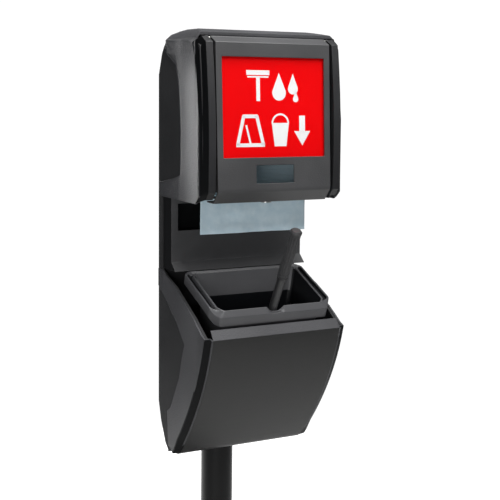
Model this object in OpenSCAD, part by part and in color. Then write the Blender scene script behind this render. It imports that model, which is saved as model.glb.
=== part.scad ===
// Forecourt windscreen-service stand: a folded-towel dispenser over a tilted wash
// bucket with its squeegee, in one moulded housing hung on the front of a round post.
// Origin: the post's axis at the underside of its base plate. Front faces -Y, +Z is up.
// Side outlines are written as [d, z]: d is the distance forward of the rear edges.

/* [Housing] */
// Overall width across the flared side bands
unit_w = 316; // [290:1:380]
// Depth from the rear edges to the foremost line of the tub
unit_d = 242; // [225:1:290]
// Height of the housing's underside above the ground
mount_h = 529; // [400:1:800]
// Height of the towel dispenser
dispenser_h = 334; // [270:1:400]
// Height of the open throat between dispenser and tub
throat_h = 152; // [140:1:190]
// Height of the tub, from its underside to its rear top edge
tub_h = 386; // [350:1:460]
// Thickness of the double-skinned side panels
side_t = 6; // [4:0.5:8]
// Thickness of the thin moulded skins
skin = 3.5; // [2.5:0.5:5]
// How far the flared bands stand proud of the side panels at the front
flare = 5; // [3:0.5:6]
// Distance of the throat's back wall forward of the rear edges
throat_d = 62; // [50:1:70]

/* [Door] */
// Width of the dispenser's frame border on each side of the door opening
frame_w = 15; // [10:1:20]
// Width of the recessed strip between the frame and the side band
strip_w = 13; // [8:1:16]
// Clear gap around the door
door_gap = 5; // [3:0.5:7]
// Border between the sign opening and the door's sides
sign_side_border = 13; // [8:1:30]
// Border between the sign opening and the top of the housing
sign_top_border = 54; // [48:1:80]
// Border between the sign opening and the dispenser's underside
sign_low_border = 89; // [84:1:110]
// Width of the towel level window
window_w = 83; // [50:1:110]
// Height of the towel level window
window_h = 35; // [20:1:38]
// Radius of the door's hinge pins
hinge_pin_r = 2; // [1.5:0.25:2.5]

/* [Towels] */
// Height of the stack of towels
towel_stack_h = 215; // [80:1:240]
// How far the leading towel hangs below the dispenser
towel_hang = 68; // [30:1:90]

/* [Bucket and squeegee] */
// Slope of the bucket's rim, from level
rim_slope = 23; // [18:1:26]
// Tilt of the bucket's axis, from upright
bucket_tilt = 14; // [12:1:17]
// Depth of the bucket along its axis, below the front of its rim
bucket_depth = 165; // [120:1:175]
// Wall thickness of the bucket
bucket_wall = 3; // [2:0.5:4]
// Height of the rim's skirt
skirt_h = 28; // [20:1:30]
// Lean of the squeegee's handle, from upright
handle_lean = 28; // [25:1:30]
// Radius of the squeegee's handle shaft
shaft_r = 8.5; // [7:0.5:10]
// Radius of the squeegee's ribbed grip
grip_r = 11; // [9.5:0.5:13]
// Length of the ribbed grip
grip_len = 108; // [80:1:130]
// Length of the shaft between the grip and the rim
shaft_above_rim = 84; // [60:1:100]

/* [Post] */
// Diameter of the post
post_d = 70; // [54:1:84]
// Wall thickness of the post
post_wall = 3; // [2:0.5:5]
// How far below the housing's top the post ends
post_drop = 130; // [100:1:300]
// Side of the square base plate
base_w = 300; // [250:1:400]
// Thickness of the base plate
base_t = 10; // [8:1:16]
// Spacing of the anchor holes
anchor_spacing = 240; // [190:1:240]
// Radius of the anchor holes
anchor_r = 7; // [5:0.5:9]

/* [Hidden] */
$fn = 64;

// Levels
bot_z = mount_h;
tub_z = bot_z + tub_h;
disp_z = tub_z + throat_h;
top_z = disp_z + dispenser_h;

// The post nests a little into the housing's back
post_nest = 7;
rear_y = post_nest - post_d / 2;

// Half widths, from the outside in
half_w = unit_w / 2;
panel_x = half_w - flare;
inner_x = panel_x - side_t;
frame_x = half_w - strip_w;
door_open_x = frame_x - frame_w;
door_x = door_open_x - door_gap;

// A point [d, z] of a side outline in the part's own Y and Z
function place(p) = [rear_y - p[0], p[1]];
function places(pts) = [for (p = pts) place(p)];
function flip(pts) = [for (i = [len(pts) - 1:-1:0]) pts[i]];
function left_normal(a, b) = let (v = b - a) [-v[1], v[0]] / norm(v);
// A path moved sideways by t, with mitred corners
function beside(p, t) = [for (i = [0:len(p) - 1])
    let (n = i == 0 ? left_normal(p[0], p[1]) : left_normal(p[i - 1], p[i]),
         m = i == len(p) - 1 ? n : left_normal(p[i], p[i + 1]))
    p[i] + t * (n + m) / (1 + n * m)];

// Extrudes a [Y, Z] outline along X, between two stations
module across(x0, x1) {
    translate([x0, 0, 0]) rotate([90, 0, 90]) linear_extrude(x1 - x0) children();
}
// A skin of thickness t along a [d, z] path, centred on X
module skin_along(path, t, half) {
    across(-half, half) polygon(places(concat(path, flip(beside(path, t)))));
}
module both_sides() {
    children();
    mirror([1, 0, 0]) children();
}

// Rear outline, from the underside up to the top
rear_low = [[50, bot_z + 4], [33, bot_z + 19], [12, bot_z + 62], [0, bot_z + 102]];
cowl_rear_d = 38;
rear_top = [[0, top_z - 89], [15, top_z - 47], [32, top_z - 26]];
// The back panel is set in between the side panels, where the post nests
back_d = post_nest + 7;
back_path = [[50, bot_z + 4], [33, bot_z + 19], [back_d, bot_z + 62], [back_d, top_z - 66],
    [32, top_z - 26], [cowl_rear_d, top_z - 21]];

// Door and frame front, from the lip up to the hinge line
lip_d = unit_d - 40;
face_d = unit_d - 20;
crease_d = unit_d - 37;
knuckle_r = 3.6;
hinge_d = unit_d - 60.5;
hinge_z = top_z - 19.3;
face_low_z = disp_z + 31;
crease_z = top_z - 27;
face_rise = [[face_d - 1, disp_z + 23], [face_d, face_low_z], [crease_d, crease_z],
    [hinge_d + 0.3 * knuckle_r, hinge_z + 0.8 * knuckle_r]];
lip_flange = 30;
function face_at(z) = [face_d + (crease_d - face_d) * (z - face_low_z) / (crease_z - face_low_z), z];
door_path = concat([[lip_d - lip_flange, disp_z + 1], [lip_d, disp_z + 1]], face_rise);
// The frame stands proud of the flat door, most at mid height
frame_crown = 7;
crown_steps = 6;
function crowned(i) = let (t = i / crown_steps, p = face_at(face_low_z + (crease_z - face_low_z) * t))
    [p[0] + frame_crown * sin(180 * t), p[1]];
frame_path = concat([[lip_d + 7, disp_z + 9], face_rise[0]], [for (i = [0:crown_steps]) crowned(i)],
    [face_rise[3]]);

// Tub front: a belly that falls away towards the rear as it goes down
belly_top_z = tub_z - 106;
belly_h = belly_top_z - bot_z - 4;
belly_sweep = 158;
belly_steps = 8;
function belly_d(k) = unit_d - belly_sweep * (0.42 * k + 0.58 * k * k);
belly_path = [for (i = [belly_steps:-1:0]) let (k = i / belly_steps)
    [belly_d(k), belly_top_z - belly_h * k]];

// ---------- post and its fixings ----------
post_top = top_z - post_drop;
bracket_z = [bot_z + 150, disp_z + 120];
bracket_h = 60;
bracket_half = 70;
back_inner_y = rear_y - back_d - skin;
u_rod_r = 4;
u_bolt_x = post_d / 2 + u_rod_r + 0.5;
u_nut_h = 6.5;
u_nut_r = 7.5;
leg_end_y = back_inner_y - u_nut_h - 3;
bracket_plate = 5;
bore_clear = 0.3;
fit = 0.05;

module post() {
    color("black")
    difference() {
        translate([0, 0, base_t]) cylinder(r = post_d / 2, h = post_top - base_t);
        translate([0, 0, base_t - 1])
            cylinder(r = post_d / 2 - post_wall, h = post_top - base_t + 2);
    }
}

module base_plate() {
    color("dimgray")
    difference() {
        translate([-base_w / 2, -base_w / 2, 0]) cube([base_w, base_w, base_t]);
        for (x = [-1, 1], y = [-1, 1])
            translate([x * anchor_spacing / 2, y * anchor_spacing / 2, -1])
                cylinder(r = anchor_r, h = base_t + 2);
    }
}

module post_cap() {
    color("black")
    translate([0, 0, post_top]) {
        cylinder(r = post_d / 2, h = 4);
        translate([0, 0, -18]) cylinder(r = post_d / 2 - post_wall - bore_clear, h = 18);
    }
}

// Saddles: channels between the back panel and the post, their edges cut to its curve
module post_brackets() {
    color("dimgray")
    for (z = bracket_z)
        translate([0, rear_y - back_d, z - bracket_h / 2])
        difference() {
            translate([-bracket_half, 0, 0]) cube([2 * bracket_half, back_d, bracket_h]);
            translate([-bracket_half + bracket_plate, bracket_plate, bracket_plate])
                cube([2 * (bracket_half - bracket_plate), back_d, bracket_h - 2 * bracket_plate]);
            translate([0, back_d - rear_y, -1]) cylinder(r = post_d / 2 + bore_clear, h = bracket_h + 2);
            for (s = [-1, 1])
                translate([s * u_bolt_x, -1, bracket_h / 2])
                    rotate([-90, 0, 0]) cylinder(r = u_rod_r + bore_clear, h = bracket_plate + 2);
        }
}

// U-bolts: round the back of the post, their legs running forward through the back panel
module u_bolts() {
    color("silver")
    for (z = bracket_z)
        translate([0, 0, z]) {
            rotate_extrude(angle = 180) translate([u_bolt_x, 0]) circle(r = u_rod_r);
            for (s = [-1, 1])
                translate([s * u_bolt_x, leg_end_y, 0])
                    rotate([-90, 0, 0]) cylinder(r = u_rod_r, h = -leg_end_y);
        }
}

module u_bolt_nuts() {
    color("silver")
    for (z = bracket_z, s = [-1, 1])
        translate([s * u_bolt_x, back_inner_y, z])
            rotate([90, 0, 0])
            difference() {
                cylinder(r = u_nut_r, h = u_nut_h, $fn = 6);
                translate([0, 0, -1]) cylinder(r = u_rod_r + fit, h = u_nut_h + 2);
            }
}

// ---------- housing ----------
corner_r = 38;
corner_steps = 6;
// Front outline with rounded shoulders of radius r
function shoulder(x, z, r, s) = [for (i = [0:corner_steps]) let (a = 90 * i / corner_steps)
    [s * (x - r + r * cos(a)), z - r + r * sin(a)]];
module front_prism(x, z, r) {
    translate([0, rear_y + 10, 0]) rotate([90, 0, 0])
        linear_extrude(unit_d + 30)
            polygon(concat([[-x, bot_z - 20], [x, bot_z - 20]], shoulder(x, z, r, 1), flip(shoulder(x, z, r, -1))));
}
// Plan outline: the bands flare outwards towards the front
band_rear = 0.5;
module plan_prism() {
    rear_half = panel_x + band_rear;
    translate([0, 0, bot_z - 10])
        linear_extrude(top_z - bot_z + 20)
            polygon([[-rear_half, rear_y + 1], [rear_half, rear_y + 1], [half_w, rear_y - face_d + 10],
                [half_w, rear_y - unit_d - 10], [-half_w, rear_y - unit_d - 10],
                [-half_w, rear_y - face_d + 10]]);
}

// Top of the cowl, from its rear seam to the hood above the door
hood_d = hinge_d - 2.5;
hood_low_z = hinge_z + knuckle_r + 0.6;
cowl_top = [[cowl_rear_d, top_z - 21], [51, top_z - 10], [91, top_z - 1], [120, top_z],
    [hood_d, top_z - 7.6], [hood_d, hood_low_z]];
// The cowl's underside, carried back to its rear seam
function reach_back(p, d) = [d, p[0][1] - (p[0][0] - d) * (p[1][1] - p[0][1]) / (p[1][0] - p[0][0])];
cowl_inner = beside(cowl_top, -skin);
cowl_under = concat([reach_back(cowl_inner, cowl_rear_d)], [for (i = [1:5]) cowl_inner[i]]);

flange_d = 22;
tub_edge = [[flange_d, tub_z], [42, tub_z - 10], [88, tub_z - 26],
    [unit_d - 63, tub_z - 72], [unit_d - 22, tub_z - 98]];
// The side panels stop behind the door frame's strips above and behind the belly's below
strip_back = 11;
strip_in = 9;
panel_front = flip(beside(frame_path, strip_back + skin));
panel_belly = flip(beside(belly_path, strip_in + skin));
side_outline = concat(rear_low, rear_top, [for (i = [0:4]) cowl_under[i]], panel_front,
    [[face_d - 45, disp_z], [flange_d, disp_z]], tub_edge, panel_belly);

// Inset faces of the side panels: each sinks towards its front edge, below the flared band
inset_wall = 1.8;
inset_tilt = atan((side_t - inset_wall) / 135);
upper_inset = [[cowl_rear_d, top_z - 46], [60, top_z - 55], [88, top_z - 69], [102, top_z - 109],
    [113, top_z - 200], [110, disp_z + 50], [76, disp_z + 40], [8, disp_z + 28]];
lower_inset = [[50, bot_z + 18], [45, tub_z - 295], [63, tub_z - 284], [83, tub_z - 251],
    [108, tub_z - 209], [122, tub_z - 164], [135, tub_z - 135], [92, tub_z - 96], [41, tub_z - 60],
    [2, tub_z - 36]];
module sink(s, outline) {
    mirror([s < 0 ? 1 : 0, 0, 0])
    translate([panel_x, rear_y, 0]) rotate([0, 0, -inset_tilt]) translate([0, -rear_y, 0])
        across(0, 30) polygon(places(outline));
}

// Screws hold the back panel to cleats on the side panels
screw_r = 1.75;
screw_head_r = 3.5;
screw_len = 8;
screw_x = inner_x - 7;
screw_z = [bot_z + 140, tub_z - 70, disp_z + 60, top_z - 120];
cleat_w = 14;
cleat_h = 16;
cleat_t = 6;
module at_screws() {
    for (z = screw_z, s = [-1, 1])
        translate([s * screw_x, rear_y - back_d, z]) rotate([90, 0, 0]) children();
}
module side_panel(s) {
    color([0.16, 0.16, 0.17])
    difference() {
        union() {
            intersection() {
                across(s < 0 ? -panel_x : inner_x, s < 0 ? -inner_x : panel_x)
                    polygon(places(side_outline));
                front_prism(panel_x, top_z - skin, corner_r - flare);
            }
            for (z = screw_z)
                translate([s < 0 ? -inner_x : inner_x - cleat_w, back_inner_y - cleat_t, z - cleat_h / 2])
                    cube([cleat_w, cleat_t, cleat_h]);
        }
        at_screws() cylinder(r = screw_r + fit, h = screw_len);
        sink(s, concat([[-40, disp_z + 28], [-40, top_z - 20], [20, top_z - 20]], upper_inset));
        sink(s, concat([[-40, bot_z - 20], [50, bot_z - 20]], lower_inset, [[-40, tub_z - 36]]));
    }
}

// One skin down the whole back, between the side panels
module back_panel() {
    color([0.14, 0.14, 0.15])
    difference() {
        intersection() {
            skin_along(flip(back_path), skin, inner_x);
            across(-inner_x, inner_x)
                polygon(places([[-5, bot_z - 5], [50, bot_z - 5], [50, disp_z], [cowl_rear_d, disp_z],
                    [cowl_rear_d, top_z], [-5, top_z]]));
            front_prism(panel_x, top_z, corner_r - flare);
        }
        for (z = bracket_z, s = [-1, 1])
            translate([s * u_bolt_x, back_inner_y - skin, z])
                rotate([-90, 0, 0]) cylinder(r = u_rod_r + bore_clear, h = 3 * skin);
        at_screws() translate([0, 0, -1]) cylinder(r = screw_r + fit, h = screw_len + 1);
    }
}
module housing_screws() {
    color("silver")
    at_screws() {
        cylinder(r = screw_r, h = screw_len);
        translate([0, 0, -2]) cylinder(r = screw_head_r, h = 2);
    }
}

// Throat: back wall with its towel recess, sloped ledge, shelf back to the rear skin
recess_half = inner_x - 11;
recess_top = disp_z - 12;
recess_h = 55;
recess_depth = 26;
guide_h = 235;
ledge_z = tub_z + 21;
shelf_z = tub_z + 4;
shelf_d = throat_d + 20;
function recess_box(front, back, grow) = places([[front, recess_top - recess_h - grow],
    [front, recess_top + grow], [back, recess_top + grow], [back, recess_top - recess_h - grow]]);
// Between the tub and the dispenser the wall is wider and wraps back to the side panels
throat_half = panel_x - 1.5;
throat_wrap = [[flange_d, shelf_z], [shelf_d, shelf_z], [throat_d, ledge_z], [throat_d, disp_z]];
module throat_panel() {
    color([0.15, 0.15, 0.16]) {
        difference() {
            union() {
                skin_along(throat_wrap, skin, throat_half);
                skin_along([[throat_d, disp_z - 1], [throat_d, disp_z + guide_h]], skin, inner_x);
                skin_along([[back_d + skin, shelf_z], [flange_d + 1, shelf_z]], skin, inner_x);
                both_sides()
                    across(throat_half - skin, throat_half)
                        polygon(places(concat(throat_wrap, [[flange_d, disp_z]])));
            }
            across(-recess_half, recess_half) polygon(recess_box(throat_d + 1, throat_d - 2 * skin, 0));
        }
        difference() {
            across(-recess_half - skin, recess_half + skin)
                polygon(recess_box(throat_d - skin, throat_d - recess_depth, skin));
            across(-recess_half, recess_half)
                polygon(recess_box(throat_d, throat_d - recess_depth + skin, 0));
        }
    }
}

// ---------- dispenser ----------
cowl_side = concat(upper_inset, [
    [8, disp_z], [face_d - 34, disp_z], [face_d - 15, disp_z + 16], [face_d - 16, disp_z + 50],
    [face_d - 18, disp_z + 161], [face_d - 34, top_z - 60], [hood_d, top_z - 27]]);
crown_low_z = top_z - corner_r - flare;
module upper_cowl() {
    color([0.2, 0.2, 0.21])
    union() {
        intersection() {
            both_sides() across(panel_x, half_w)
                polygon(places(concat(cowl_side, flip(cowl_top))));
            plan_prism();
            front_prism(half_w, top_z, corner_r);
        }
        difference() {
            intersection() {
                across(-half_w, half_w)
                    polygon(places(concat(cowl_top, [[hood_d, crown_low_z], [cowl_rear_d, crown_low_z]])));
                plan_prism();
                front_prism(half_w, top_z, corner_r);
            }
            intersection() {
                across(-panel_x, panel_x)
                    polygon(places(concat([reach_back(cowl_inner, cowl_rear_d - 1)], cowl_under,
                        [[hood_d + 1, hood_low_z], [hood_d + 1, crown_low_z - 1], [cowl_rear_d - 1, crown_low_z - 1]])));
                front_prism(panel_x, top_z - skin, corner_r - flare);
            }
        }
    }
}

// Frame: a border and a recessed strip on each side, with a jamb that holds the hinge pin
jamb_depth = 14;
module frame_side() {
    intersection() {
        union() {
            across(door_open_x, frame_x)
                polygon(places(concat(frame_path, flip(beside(frame_path, skin)))));
            across(door_open_x, door_open_x + skin)
                polygon(places(concat(frame_path, flip(beside(frame_path, jamb_depth)))));
            across(frame_x - skin, frame_x)
                polygon(places(concat(frame_path, flip(beside(frame_path, strip_back + skin)))));
            across(frame_x - skin, panel_x)
                polygon(places(concat(beside(frame_path, strip_back), flip(beside(frame_path, strip_back + skin)))));
            translate([door_open_x, rear_y - hinge_d, hinge_z])
                rotate([0, 90, 0]) cylinder(r = knuckle_r, h = skin);
        }
        front_prism(panel_x, top_z - skin, corner_r - flare);
    }
}
module door_frame() {
    color([0.22, 0.22, 0.23])
    both_sides()
    difference() {
        frame_side();
        translate([door_open_x - 1, rear_y - hinge_d, hinge_z])
            rotate([0, 90, 0]) cylinder(r = hinge_pin_r + fit, h = skin + 2);
    }
}

pin_reach = 14;
module hinge_pins() {
    color("silver")
    both_sides()
        translate([door_x - pin_reach, rear_y - hinge_d, hinge_z])
            rotate([0, 90, 0]) cylinder(r = hinge_pin_r, h = pin_reach + door_gap + skin);
}

// Tray under the towels, with the slot they are drawn through and the lock's keeper
tray_z = disp_z + 7;
tray_front_d = lip_d - lip_flange - 4;
slot_d = unit_d - 111;
slot_len = 36;
towel_half = inner_x - 28;
lock_d = lip_d - 20;
keeper_w = 9;
keeper_x = 11.5;
module towel_tray() {
    color([0.12, 0.12, 0.13])
    difference() {
        union() {
            across(-inner_x, inner_x)
                polygon(places([[throat_d, tray_z], [tray_front_d, tray_z], [tray_front_d, tray_z + 3],
                    [throat_d, tray_z + 3]]));
            across(keeper_x, keeper_x + keeper_w)
                polygon(places([[tray_front_d, tray_z], [lock_d + 11, tray_z], [lock_d + 11, tray_z + 14],
                    [lock_d + 8, tray_z + 14], [lock_d + 8, tray_z + 3], [tray_front_d, tray_z + 3]]));
        }
        across(-towel_half - 4, towel_half + 4)
            polygon(places([[slot_d - slot_len / 2, tray_z - 1], [slot_d + slot_len / 2, tray_z - 1],
                [slot_d + slot_len / 2, tray_z + 4], [slot_d - slot_len / 2, tray_z + 4]]));
    }
}

soft_gap = 0.3;
cam_len = 18;
stack_d = throat_d + 4;
towel_fold = lock_d - cam_len - 2 - stack_d;
module towel_stack() {
    color([0.72, 0.8, 0.84])
    across(-towel_half, towel_half)
        polygon(places([[stack_d, tray_z + 3 + soft_gap], [stack_d + towel_fold, tray_z + 3 + soft_gap],
            [stack_d + towel_fold, tray_z + 3 + towel_stack_h], [stack_d, tray_z + 3 + towel_stack_h]]));
}

towel_t = 1.2;
module hanging_towel() {
    color([0.75, 0.83, 0.87])
    across(-towel_half, towel_half)
        polygon(places([[slot_d - towel_t / 2, disp_z - towel_hang], [slot_d + towel_t / 2, disp_z - towel_hang],
            [slot_d + towel_t / 2, tray_z + 3], [slot_d - towel_t / 2, tray_z + 3]]));
}

// ---------- tub ----------
front_half = frame_x - 3;
band_low = [[50, bot_z + 18], [45, tub_z - 295], [63, tub_z - 284], [83, tub_z - 251], [108, tub_z - 209],
    [122, tub_z - 164], [135, tub_z - 135], [92, tub_z - 96], [41, tub_z - 60], [2, tub_z - 36]];
tub_band = concat([[2, tub_z]], tub_edge, flip(beside(belly_path, strip_in)), band_low);
module tub_side(s) {
    color([0.2, 0.2, 0.21])
    intersection() {
        across(s < 0 ? -half_w : panel_x, s < 0 ? -panel_x : half_w) polygon(places(tub_band));
        plan_prism();
    }
}

// Belly skin, carried under the tub to the rear
module tub_front() {
    color([0.1, 0.1, 0.11])
    skin_along(concat([[50, bot_z + 4]], belly_path), skin, front_half);
}

// Sloped front ledge and the recessed strips between the belly and the side bands
ledge_rise = 18;
ledge_run = 13;
module tub_ledge() {
    color([0.22, 0.22, 0.23]) {
        across(-front_half, front_half)
            polygon(places([[unit_d, belly_top_z], [unit_d - ledge_run, belly_top_z + ledge_rise],
                [unit_d - ledge_run - skin, belly_top_z + ledge_rise], beside(belly_path, skin)[belly_steps]]));
        both_sides() {
            across(front_half, front_half + skin)
                polygon(places(concat(belly_path, flip(beside(belly_path, strip_in + skin)))));
            across(front_half, panel_x)
                polygon(places(concat(beside(belly_path, strip_in), flip(beside(belly_path, strip_in + skin)))));
        }
    }
}

// ---------- bucket: drawn upright in its own frame, then leaned towards the front ----------
front_gap = 13;
rim_front_d = unit_d - front_gap;
rim_front_z = tub_z - 57;
rim_run = rim_front_d - shelf_d - 3;
rim_fall = rim_slope - bucket_tilt;
rim_len = rim_run * (cos(bucket_tilt) + tan(rim_slope) * sin(bucket_tilt));
side_clear = 11;
bucket_half = inner_x - side_clear;
rim_front_w = 10;
bevel_w = 8;
rim_side_w = 19;
rim_rear_w = 11;
rim_bevel = 9;
chamfer_x = 17;
chamfer_y = 22;
shoulder_h = 36;
shoulder_w = 12;
base_draft = 5;
mouth_half = bucket_half - rim_side_w;
base_half = mouth_half - shoulder_w - base_draft;
notch_depth = 10;
notch_half = 20;
squeegee_x = 4;
function rim_z(y) = y * tan(rim_fall);

module in_bucket() {
    translate([0, rear_y - rim_front_d, rim_front_z]) rotate([bucket_tilt, 0, 0]) children();
}
// Rim outline in plan, drawn in by t
module rim_plan(t) {
    h = bucket_half - t;
    polygon([[-h, chamfer_y], [-h, rim_len - 10], [-h + 10, rim_len - t], [h - 10, rim_len - t],
        [h, rim_len - 10], [h, chamfer_y], [h - chamfer_x, t], [-h + chamfer_x, t]]);
}
// The basin inside the rim, grown by t: its shoulder steps in below the mouth
module basin(t, top, bottom) {
    x0 = mouth_half + t;
    x1 = x0 - shoulder_w;
    x2 = base_half + t;
    y1 = rim_len - rim_rear_w + t;
    intersection() {
        rotate([90, 0, 0]) translate([0, 0, -rim_len - 40]) linear_extrude(rim_len + 80)
            polygon([[-x2, bottom], [x2, bottom], [x1, -shoulder_h], [x0, -4], [x0, top], [-x0, top],
                [-x0, -4], [-x1, -shoulder_h]]);
        across(-bucket_half, bucket_half)
            polygon([[rim_front_w - t + base_draft, bottom], [rim_front_w - t, -shoulder_h],
                [rim_front_w - t, -rim_bevel], [bevel_w, rim_z(bevel_w)], [y1, rim_z(y1)],
                [y1, rim_z(y1) - 8], [y1 - 20, rim_z(y1) - shoulder_h - 8], [y1 - 24, bottom]]);
    }
}
basin_top = rim_z(rim_len) + 20;
module bucket() {
    color([0.17, 0.17, 0.18])
    in_bucket()
    difference() {
        union() {
            difference() {
                intersection() {
                    translate([0, 0, -50]) linear_extrude(150) rim_plan(0);
                    across(-bucket_half, bucket_half)
                        polygon([[0, -skirt_h], [0, -rim_bevel], [bevel_w, rim_z(bevel_w)],
                            [rim_len - 4, rim_z(rim_len - 4)], [rim_len, rim_z(rim_len) - 4],
                            [rim_len, rim_z(rim_len) - skirt_h + 14]]);
                }
                intersection() {
                    translate([0, 0, -51]) linear_extrude(152) rim_plan(bucket_wall - 0.5);
                    across(-bucket_half, bucket_half)
                        polygon([[-1, -skirt_h - 20], [-1, -rim_bevel - 6], [bevel_w + 2, rim_z(bevel_w) - bucket_wall],
                            [rim_len - 5, rim_z(rim_len - 5) - bucket_wall], [rim_len + 1, rim_z(rim_len) - 8],
                            [rim_len + 1, -skirt_h - 20]]);
                }
            }
            basin(bucket_wall, basin_top, -bucket_depth);
        }
        basin_hollow();
        translate([squeegee_x, 0, 0]) rotate([90, 0, 0]) translate([0, 0, -rim_front_w - bucket_wall - 2])
            linear_extrude(rim_front_w + bucket_wall + 4)
                polygon([[-shaft_r - 1.5, -notch_depth], [shaft_r + 1.5, -notch_depth],
                    [notch_half, 12], [-notch_half, 12]]);
    }
}
module basin_hollow() {
    x0 = mouth_half;
    x1 = x0 - shoulder_w;
    y1 = rim_len - rim_rear_w;
    intersection() {
        rotate([90, 0, 0]) translate([0, 0, -rim_len - 40]) linear_extrude(rim_len + 80)
            polygon([[-base_half, -bucket_depth + bucket_wall], [base_half, -bucket_depth + bucket_wall],
                [x1, -shoulder_h], [x0, -4], [x0, basin_top], [-x0, basin_top], [-x0, -4], [-x1, -shoulder_h]]);
        across(-bucket_half, bucket_half)
            polygon([[rim_front_w + base_draft, -bucket_depth + bucket_wall], [rim_front_w, -shoulder_h],
                [rim_front_w, basin_top], [y1, basin_top], [y1, rim_z(y1) - 8],
                [y1 - 20, rim_z(y1) - shoulder_h - 8], [y1 - 24, -bucket_depth + bucket_wall]]);
    }
}

// Seat across the tub that the bucket stands on
module bucket_seat() {
    color([0.12, 0.12, 0.13])
    in_bucket()
    translate([-inner_x, rim_front_w + 8, -bucket_depth - 4])
        cube([2 * inner_x, rim_len - rim_rear_w - 45, 4]);
}

// ---------- squeegee: drawn along its handle from the notch, then leaned in the bucket ----------
lean_in = handle_lean - bucket_tilt;
blade_reach = 20;
block_half = 8;
block_h = 22;
sponge_reach = 38;
head_half = base_half - 4;
head_low = (bucket_depth - bucket_wall - soft_gap - notch_depth - blade_reach * sin(lean_in)) / cos(lean_in);
collar_h = 6;
cap_h = 6;
module in_squeegee() {
    in_bucket()
    translate([squeegee_x, rim_front_w + soft_gap + shaft_r / cos(lean_in), -notch_depth])
        rotate([lean_in, 0, 0]) children();
}
module squeegee_shaft() {
    color([0.2, 0.2, 0.21])
    in_squeegee() translate([0, 0, -head_low + block_h])
        cylinder(r = shaft_r, h = head_low - block_h + shaft_above_rim);
}
rib_count = 12;
module squeegee_grip() {
    color([0.22, 0.22, 0.23])
    in_squeegee() translate([0, 0, shaft_above_rim])
    difference() {
        cylinder(r = grip_r, h = grip_len - cap_h);
        for (i = [0:rib_count - 1])
            rotate([0, 0, i * 360 / rib_count]) translate([grip_r + 0.6, 0, 6])
                cylinder(r = 1.6, h = grip_len - cap_h - 12);
    }
}
module squeegee_end_cap() {
    color([0.2, 0.2, 0.21])
    in_squeegee() translate([0, 0, shaft_above_rim + grip_len - cap_h])
        rotate_extrude()
            polygon([[0, 0], [grip_r + 0.8, 0], [grip_r + 0.8, cap_h - 3], [grip_r - 2, cap_h], [0, cap_h]]);
}
module squeegee_collar() {
    color([0.25, 0.25, 0.26])
    in_squeegee() translate([0, 0, shaft_above_rim - collar_h])
    difference() {
        cylinder(r1 = grip_r - 0.5, r2 = grip_r + 1.5, h = collar_h);
        translate([0, 0, -1]) cylinder(r = shaft_r + fit, h = collar_h + 2);
    }
}
module squeegee_head() {
    color([0.2, 0.2, 0.21])
    in_squeegee() translate([-squeegee_x, 0, -head_low])
    difference() {
        union() {
            translate([-head_half, -block_half, 0]) cube([2 * head_half, 2 * block_half, block_h]);
            translate([squeegee_x, 0, block_h]) cylinder(r = shaft_r + 3, h = 24);
        }
        translate([-head_half - 1, -block_half - 1, -1]) cube([2 * head_half + 2, 8, 5]);
        translate([squeegee_x, 0, block_h]) cylinder(r = shaft_r + fit, h = 28);
    }
}
module squeegee_blade() {
    color([0.08, 0.08, 0.08])
    in_squeegee() translate([-squeegee_x - head_half, -blade_reach, -head_low])
        cube([2 * head_half, blade_reach - block_half + 7, 4]);
}
module squeegee_sponge() {
    color([0.75, 0.6, 0.2])
    in_squeegee() translate([-squeegee_x - head_half, block_half + soft_gap, -head_low + 1])
        cube([2 * head_half, sponge_reach - block_half, block_h - 2]);
}

// ---------- door ----------
sign_low_z = disp_z + sign_low_border;
sign_high_z = top_z - sign_top_border;
sign_half = door_x - sign_side_border;
window_mid_z = disp_z + 56.5;
lap = 5;
// A flat plate behind the door's face, from z0 to z1, between depths t0 and t1
function face_strip(z0, z1, t0, t1) = let (p = [face_at(z0), face_at(z1)])
    places(concat(beside(p, t0), flip(beside(p, t1))));
module door_shell() {
    color([0.22, 0.22, 0.23])
    difference() {
        union() {
            skin_along(door_path, skin, door_x);
            both_sides()
                across(door_x - skin, door_x)
                    polygon(places(concat(face_rise, flip(beside(face_rise, jamb_depth)))));
            across(-door_x, door_x)
                translate([rear_y - hinge_d, hinge_z]) circle(r = knuckle_r);
        }
        across(-sign_half, sign_half) polygon(face_strip(sign_low_z, sign_high_z, -1, skin + 1));
        across(-window_w / 2, window_w / 2)
            polygon(face_strip(window_mid_z - window_h / 2, window_mid_z + window_h / 2, -1, skin + 1));
        both_sides()
            translate([door_x - pin_reach - 0.5, rear_y - hinge_d, hinge_z])
                rotate([0, 90, 0]) cylinder(r = hinge_pin_r + fit, h = pin_reach + 1);
        translate([0, rear_y - lock_d, disp_z]) cylinder(r = barrel_r + fit, h = 6);
    }
}
module sign_lens() {
    color([0.9, 0.9, 0.9, 0.4])
    across(-sign_half - lap, sign_half + lap)
        polygon(face_strip(sign_low_z - lap, sign_high_z + lap, skin, skin + 2));
}
module sign_card() {
    color([0.9, 0.05, 0.1])
    across(-sign_half - lap, sign_half + lap)
        polygon(face_strip(sign_low_z - lap, sign_high_z + lap, skin + 2, skin + 3));
}
module sign_retainer() {
    color([0.1, 0.1, 0.1])
    difference() {
        across(-sign_half - lap, sign_half + lap)
            polygon(face_strip(sign_low_z - lap, sign_high_z + lap, skin + 3, skin + 6));
        across(-sign_half + 10, sign_half - 10)
            polygon(face_strip(sign_low_z + 10, sign_high_z - 10, skin + 2, skin + 7));
    }
}
module level_window() {
    color([0.5, 0.6, 0.65, 0.5])
    across(-window_w / 2 - lap, window_w / 2 + lap)
        polygon(face_strip(window_mid_z - window_h / 2 - lap, window_mid_z + window_h / 2 + lap, skin, skin + 2));
}

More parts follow.
